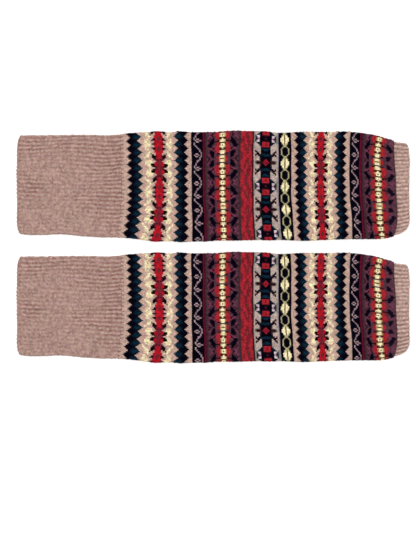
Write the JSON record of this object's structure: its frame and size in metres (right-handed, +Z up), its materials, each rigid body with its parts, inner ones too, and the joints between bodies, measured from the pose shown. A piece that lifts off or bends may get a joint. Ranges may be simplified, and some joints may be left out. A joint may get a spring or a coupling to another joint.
{
  "type": "pair of footless over-knee socks",
  "caption": "Footless over-knee wool socks laid flat side by side: patterned tubular legs, long ribbed thigh cuffs and short ribbed ankle cuffs, open at both ends.",
  "frame": {"origin": "on the surface that the socks lie on, under the middle of the pair's box", "axes": "+X along both socks from the thigh to the ankle, +Y from the near sock to the far one, +Z up off the surface"},
  "size_m": [0.55, 0.3262, 0.0067],
  "materials": {
    "thigh_rib": "matt heather-pink wool knitted in two-by-one rib",
    "patterned_leg": "matt stranded wool knitting in bands of many colours",
    "ankle_rib": "matt heather-pink wool knitted in two-by-one rib"
  },
  "bodies": {
    "root": {"far_thigh_cuff": "thigh_rib", "far_leg": "patterned_leg", "far_ankle_cuff": "ankle_rib", "near_thigh_cuff": "thigh_rib", "near_leg": "patterned_leg", "near_ankle_cuff": "ankle_rib"}
  },
  "joints": []
}
